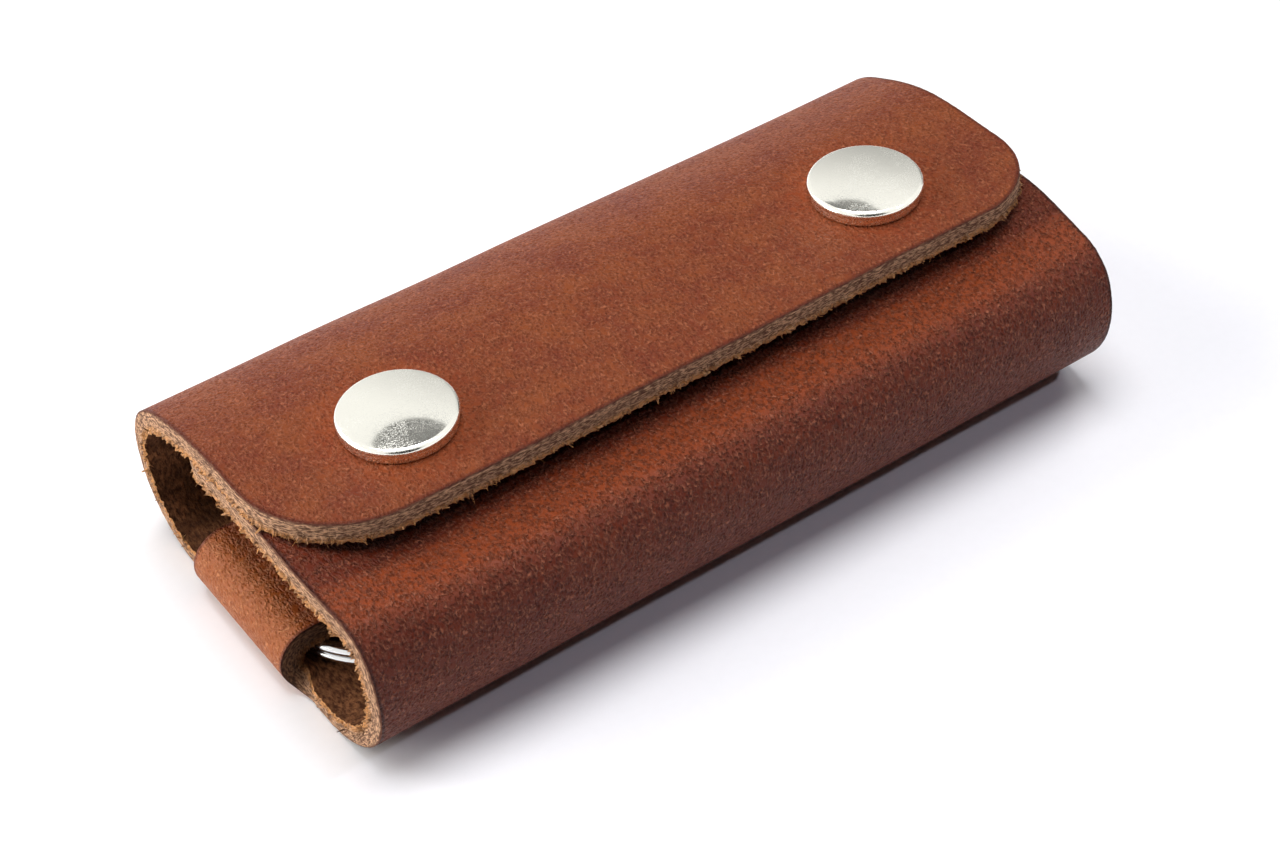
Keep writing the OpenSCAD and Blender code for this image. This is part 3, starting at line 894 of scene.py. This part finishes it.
def grain_leather(name, low, high, ridge_and_sheen, pit, warm, spacing, contrast, relief, rough, gloss):
    material, tree = new_material(name)
    effect = add_node(tree, "ShaderNodeGroup", node_tree=grain_effect)
    tree.links.new(attribute(tree, "flat", "Vector"), effect.inputs["Flat"])
    effect.inputs["Pit spacing"].default_value = spacing
    patch = remap(tree, effect.outputs["Patches"], 0.32, 0.68)
    body = mix_colours(tree, patch, low, high)
    pressed = remap(tree, attribute(tree, "press", "Fac"), 6.0, 11.0, 0.5, 0.0)
    # Over tight bends the colour turns lighter and more orange: a painted highlight, with some
    # pull-up of the wax.
    stretch_and_painted_highlight = remap(tree, attribute(tree, "stretch_and_painted_highlight", "Fac"), 0.5, 1.0, 0.0, 0.75)
    body = mix_colours(tree, maths(tree, "MAXIMUM", pressed, stretch_and_painted_highlight), body, warm)
    # The ridges' paler colour is partly grain tone and partly a painted sheen on their tops.
    raised = maths(tree, "MULTIPLY", effect.outputs["Ridges"], contrast)
    body = mix_colours(tree, raised, body, ridge_and_sheen)
    # The pits' darker colour is partly their own tone and partly painted shade.
    sunk = maths(tree, "MULTIPLY", effect.outputs["Pits"], contrast * PIT_SHARE)
    body = mix_colours(tree, sunk, body, pit)
    cut_line = remap(tree, attribute(tree, "rim", "Fac"), 0.12, 0.5, 0.8, 0.0)
    colour = mix_colours(tree, cut_line, body, pit)
    roughness = remap(tree, effect.outputs["Pits"], 0.0, 0.8, rough, rough + 0.2)
    bump = add_node(tree, "ShaderNodeBump", {
        "Height": effect.outputs["Height"], "Strength": relief, "Distance": GRAIN_DEEP})
    finish_material(tree, {"Base Color": colour, "Roughness": roughness,
                           "Normal": bump.outputs[0], "Specular IOR Level": gloss})
    return material


def cut_leather(name, dark, pale, dyed, gold):
    material, tree = new_material(name)
    place = attribute(tree, "flat", "Vector")
    layered = add_node(tree, "ShaderNodeVectorMath", {0: place, 1: (0.7, 0.7, 2.6)},
                       operation="MULTIPLY").outputs[0]
    strands = noise_of(tree, layered, 2.2, 5.0, 0.62)["Fac"]
    colour = mix_colours(tree, remap(tree, strands, 0.4, 0.64), dark, pale)
    deep = maths(tree, "MULTIPLY", add_node(tree, "ShaderNodeSeparateXYZ", {
        0: place}).outputs["Z"], -1.0)
    fleshy = maths(tree, "MULTIPLY", remap(tree, deep, 1.5, 2.3),
                   remap(tree, noise_of(tree, place, 3.0, 3.0)["Fac"], 0.35, 0.6, 0.2, 0.8))
    colour = mix_colours(tree, fleshy, colour, gold)
    colour = mix_colours(tree, remap(tree, deep, 0.08, 0.28, 0.85, 0.0), colour, dyed)
    specks = remap(tree, noise_of(tree, place, 4.5, 2.0)["Fac"], 0.3, 0.4, 0.7, 0.0)
    colour = mix_colours(tree, specks, colour, dark)
    # Round the tongue's fold the cut edge is drawn darker.
    darker = add_node(tree, "ShaderNodeVectorMath", {0: colour, 1: FOLD_DARKENING},
                      operation="MULTIPLY").outputs[0]
    colour = mix_colours(tree, attribute(tree, "folded", "Fac"), colour, darker)
    bump = add_node(tree, "ShaderNodeBump", {
        "Height": strands, "Strength": 1.0, "Distance": EDGE_DEEP})
    finish_material(tree, {"Base Color": colour, "Roughness": 0.85,
                           "Normal": bump.outputs[0], "Specular IOR Level": 0.15})
    return material


def flesh_leather(name, dark, pale):
    material, tree = new_material(name)
    place = attribute(tree, "flat", "Vector")
    brushed = add_node(tree, "ShaderNodeVectorMath", {0: place, 1: (1.5, 0.6, 1.0)},
                       operation="MULTIPLY").outputs[0]
    nap = noise_of(tree, brushed, 1.7, 6.0, 0.7)["Fac"]
    cloud = noise_of(tree, place, 0.28, 4.0)["Fac"]
    share = maths(tree, "MULTIPLY", remap(tree, nap, 0.35, 0.7),
                  remap(tree, cloud, 0.3, 0.65, 0.35, 1.0))
    bump = add_node(tree, "ShaderNodeBump", {
        "Height": nap, "Strength": 0.9, "Distance": NAP_DEEP})
    finish_material(tree, {"Base Color": mix_colours(tree, share, dark, pale),
                           "Roughness": 0.95, "Normal": bump.outputs[0],
                           "Specular IOR Level": 0.08})
    return material


flap_grain = grain_leather(
    "flap grain", low=linear(105, 45, 25), high=linear(125, 63, 31), ridge_and_sheen=linear(164, 96, 64),
    pit=linear(80, 31, 17), warm=linear(138, 60, 23), spacing=0.36, contrast=0.75, relief=1.0,
    rough=0.46, gloss=0.12)
# The front is the same leather as the flap; its darker colours are painted shade.
front_grain_with_painted_shade = grain_leather(
    "front grain", low=linear(85, 28, 10), high=linear(99, 38, 15), ridge_and_sheen=linear(156, 90, 64),
    pit=linear(48, 14, 6), warm=linear(138, 62, 27), spacing=0.35, contrast=0.88, relief=1.4,
    rough=0.42, gloss=0.17)
# The tongue is the same leather too; its lighter, more orange colours are painted light.
tongue_grain_with_painted_light = grain_leather(
    "tongue grain", low=linear(116, 50, 12), high=linear(136, 66, 20),
    ridge_and_sheen=linear(196, 128, 84), pit=linear(92, 34, 8), warm=linear(152, 80, 30), spacing=0.33,
    contrast=0.75, relief=0.9, rough=0.44, gloss=0.22)
raw_edge = cut_leather("raw edge", dark=linear(102, 72, 56), pale=linear(218, 172, 134),
                       dyed=linear(84, 42, 32), gold=linear(226, 160, 96))
flesh_side = flesh_leather("flesh side", dark=linear(68, 41, 27), pale=linear(168, 112, 74))
print("leather finishes:", [m.name for m in (flap_grain, front_grain_with_painted_shade, tongue_grain_with_painted_light, raw_edge,
                                             flesh_side)])

# %% [markdown]
# ## Plated metal
#
# Nickel plate is bright and slightly warm, and it is never perfectly smooth: handling leaves
# clouds of fine specks, matt where the plate is rubbed. They show where a bright and a dark
# reflection meet, light on dark and dark on light. So the specks change the roughness.

# %% Metals
SPECK_DEEP = 0.002 * MM


def plated(name, colour, rough, matt, worn, relief):
    """Worn is the share of the plate that the specks cover where they are thickest."""
    material, tree = new_material(name)
    place = add_node(tree, "ShaderNodeTexCoord").outputs["Object"]
    clouds = remap(tree, noise_of(tree, place, 260.0, 3.0, 0.6)["Fac"], 0.35, 0.65, 0.4, worn)
    grit = noise_of(tree, place, 9000.0, 2.0, 0.7)["Fac"]
    specks = maths(tree, "MULTIPLY", remap(tree, grit, 0.46, 0.6), clouds)
    roughness = maths(tree, "ADD", rough, maths(tree, "MULTIPLY", specks, matt))
    bump = add_node(tree, "ShaderNodeBump", {
        "Height": specks, "Strength": relief, "Distance": SPECK_DEEP})
    finish_material(tree, {"Base Color": colour, "Metallic": 1.0, "Roughness": roughness,
                           "Normal": bump.outputs[0]})
    return material


finishes = {
    "cap_nickel": plated("polished nickel", linear(249, 247, 236),
                         rough=0.06, matt=0.3, worn=1.0, relief=0.12),
    "snap_nickel": plated("satin nickel", linear(214, 208, 200),
                          rough=0.24, matt=0.3, worn=0.8, relief=0.5),
    "spring_steel": plated("spring wire", linear(180, 176, 170),
                           rough=0.3, matt=0.2, worn=0.6, relief=0.5),
    "rivet_nickel": plated("rivet nickel", linear(230, 226, 220),
                           rough=0.14, matt=0.3, worn=0.8, relief=0.5),
    "ring_steel": plated("ring plate", linear(232, 231, 230),
                         rough=0.1, matt=0.2, worn=0.5, relief=0.3)}
print("metal finishes:", list(finishes))

# %% [markdown]
# ## Putting the pieces in place
#
# Each piece stands for the CAD node that it hides. The bottom and the metal pieces ride the
# bodies that carry them.


def wear(piece, grain):
    for material in (grain, raw_edge, flesh_side):
        piece.data.materials.append(material)


wear(leather_flap, flap_grain)
wear(leather_cover, front_grain_with_painted_shade)
wear(leather_bottom, tongue_grain_with_painted_light)
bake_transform(leather_flap)
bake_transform(leather_cover)
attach(leather_bottom, "base")
leathers = [(leather_flap, "flap_panel", "leather_flap"),
            (leather_cover, "front_cover", "leather_cover"),
            (leather_bottom, "base_panel", "leather_body")]
for piece, node, slot in leathers:
    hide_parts(node)
for node, piece, body, slot in snap_parts + other_parts:
    piece.name = node + "_metal"
    piece.data.materials.append(finishes[slot])
    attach(piece, body)
    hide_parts(node)
print("pieces in place:", len(leathers + snap_parts + other_parts))

# %% [markdown]
# ## Floor, light and camera
#
# The photo shows the case on white, lit softly from above and behind, with more light from
# the left, where the cut edges shine. Four broad lamps do this. A small bluish one in front
# gives the shadow its grey, and leaves it black where the leather nearly meets the floor.
# Polished metal shows what stands round it: the cards are the darker parts of a room. Only
# reflections see them, and a soft card fades out into the white round it. The paper shines
# for rays that only look, far from the case, so that it stays white to the horizon.

# %% The stage
PAPER = 3.0
PAPER_FADES = (0.2, 0.6)
LAMP_AWAY = 0.9
FILL = 0.01


def stage_plane(name, width, depth, at, facing, material):
    bm = bmesh.new()
    bmesh.ops.create_grid(bm, x_segments=4, y_segments=4, size=0.5)
    bmesh.ops.scale(bm, vec=(width, depth, 1), verts=bm.verts)
    turn = Vector(facing).to_track_quat("Z", "Y").to_matrix().to_4x4()
    bmesh.ops.transform(bm, matrix=Matrix.Translation(at) @ turn, verts=bm.verts)
    plane = finish_mesh(bm, name)
    plane.data.materials.append(material)
    return plane


def looked_at(tree):
    """1 for rays that only look, from the camera or by a mirror, and 0 for light."""
    rays = add_node(tree, "ShaderNodeLightPath").outputs
    seen = maths(tree, "MAXIMUM", rays["Is Camera Ray"], rays["Is Glossy Ray"])
    return maths(tree, "MAXIMUM", seen, rays["Is Transmission Ray"])


paper, tree = new_material("white paper")
spot = add_node(tree, "ShaderNodeTexCoord").outputs["Object"]
fibre = noise_of(tree, spot, 900.0, 3.0)
reach = add_node(tree, "ShaderNodeVectorMath", {0: spot}, operation="LENGTH").outputs["Value"]
finish_material(tree, {
    "Base Color": mix_colours(tree, fibre["Fac"], (0.93, 0.93, 0.94, 1), (0.96, 0.96, 0.97, 1)),
    "Roughness": 0.9, "Specular IOR Level": 0.1, "Emission Color": (1, 1, 1, 1),
    "Emission Strength": maths(tree, "MULTIPLY", looked_at(tree),
                               remap(tree, reach, *PAPER_FADES))})
stage_plane("floor", PAPER, PAPER, (0, 0, 0), (0, 0, 1), paper)


def reflected_card(name, level, azimuth, elevation, degrees, softness, away=1.0, rim=1.0):
    """A disc of an angular radius, seen from the case; it fades to the level of its rim."""
    card, tree = new_material(name)
    azimuth, elevation = math.radians(azimuth), math.radians(elevation)
    at = Vector((math.sin(azimuth) * math.cos(elevation),
                 math.cos(azimuth) * math.cos(elevation), math.sin(elevation))) * away
    from_middle = add_node(tree, "ShaderNodeVectorMath", {
        0: add_node(tree, "ShaderNodeTexCoord").outputs["Object"], 1: at},
        operation="DISTANCE").outputs["Value"]
    radius = away * math.tan(math.radians(degrees))
    finish_material(tree, {
        "Base Color": (0, 0, 0, 1), "Specular IOR Level": 0.0, "Emission Color": (1, 1, 1, 1),
        "Emission Strength": remap(tree, from_middle, radius * (1 - softness), radius, level, rim)})
    plane = stage_plane(name, 2 * radius, 2 * radius, at, -at, card)
    for ray in ("camera", "diffuse", "shadow", "transmission"):
        setattr(plane, "visible_" + ray, False)


reflected_card("ceiling_card", level=0.2, azimuth=29, elevation=60.5, degrees=11.5,
               softness=0.1)
reflected_card("right_card", level=0.45, azimuth=48, elevation=12, degrees=40, softness=0.95)
reflected_card("side_card", level=0.03, azimuth=68, elevation=2, degrees=17, softness=0.35,
               away=0.9, rim=0.6)
reflected_card("front_card", level=0.03, azimuth=205, elevation=24, degrees=32, softness=0.4)

world = bpy.data.worlds.new("white surround")
bpy.context.scene.world = world
world.use_nodes = True
tree = world.node_tree
tree.nodes.clear()
seen = looked_at(tree)
tint = mix_colours(tree, seen, (0.93, 0.95, 1.0, 1), (1, 1, 1, 1))
level = add_node(tree, "ShaderNodeMapRange", {"Value": seen, "To Min": FILL, "To Max": 1.0})
sky = add_node(tree, "ShaderNodeBackground", {"Color": tint, "Strength": level.outputs[0]})
add_node(tree, "ShaderNodeOutputWorld", {"Surface": sky.outputs[0]})


def soft_lamp(name, direction, size, power, colour=(1.0, 0.985, 0.96)):
    lamp = bpy.data.lights.new(name, "AREA")
    lamp.shape = "DISK"
    lamp.size = size
    lamp.energy = power
    lamp.color = colour
    way = Vector(direction).normalized()
    holder = bpy.data.objects.new(name, lamp)
    holder.location = way * LAMP_AWAY
    holder.rotation_euler = way.to_track_quat("Z", "Y").to_euler()
    bpy.context.scene.collection.objects.link(holder)
    return holder


soft_lamp("lamp_above", (0, 0.01, 1), 0.6, 6.6, (0.965, 0.965, 1.0))
soft_lamp("lamp_behind", (-0.6, 0.6, 0.5), 0.5, 4.3)
soft_lamp("lamp_right", (0.7, 0.2, 0.7), 0.5, 1.75).visible_glossy = False
soft_lamp("lamp_left", (-0.95, 0.25, 0.25), 0.5, 5.5)
soft_lamp("lamp_front", (0.7, -0.7, 1.08), 0.05, 1.15, (0.84, 0.84, 1.0))

# %% [markdown]
# The camera stands where a fit to the cap circles and the sleeve's straight edges puts it,
# with its own roll: the photographer didn't hold it quite level.

# %% The camera
CAMERA_AT, LENS, SENSOR = (-0.11376, -0.18087, 0.19567), 74.74, 36
azimuth, elevation, roll = -0.563664, 0.73059, -0.078278
back = Vector((math.sin(azimuth) * math.cos(elevation),
               -math.cos(azimuth) * math.cos(elevation), math.sin(elevation)))
right = Vector((math.cos(azimuth), math.sin(azimuth), 0))
upward = back.cross(right)
turned_right = right * math.cos(roll) + upward * math.sin(roll)
turned_up = upward * math.cos(roll) - right * math.sin(roll)
camera = bpy.data.objects.new("camera", bpy.data.cameras.new("camera"))
camera.data.lens = LENS
camera.data.sensor_width = SENSOR
camera.matrix_world = Matrix.Translation(CAMERA_AT) @ Matrix(
    (turned_right, turned_up, back)).transposed().to_4x4()
bpy.context.scene.collection.objects.link(camera)
bpy.context.scene.camera = camera
bpy.context.scene.view_settings.view_transform = "Standard"
print("camera azimuth and elevation:", round(math.degrees(azimuth), 1),
      round(math.degrees(elevation), 1))
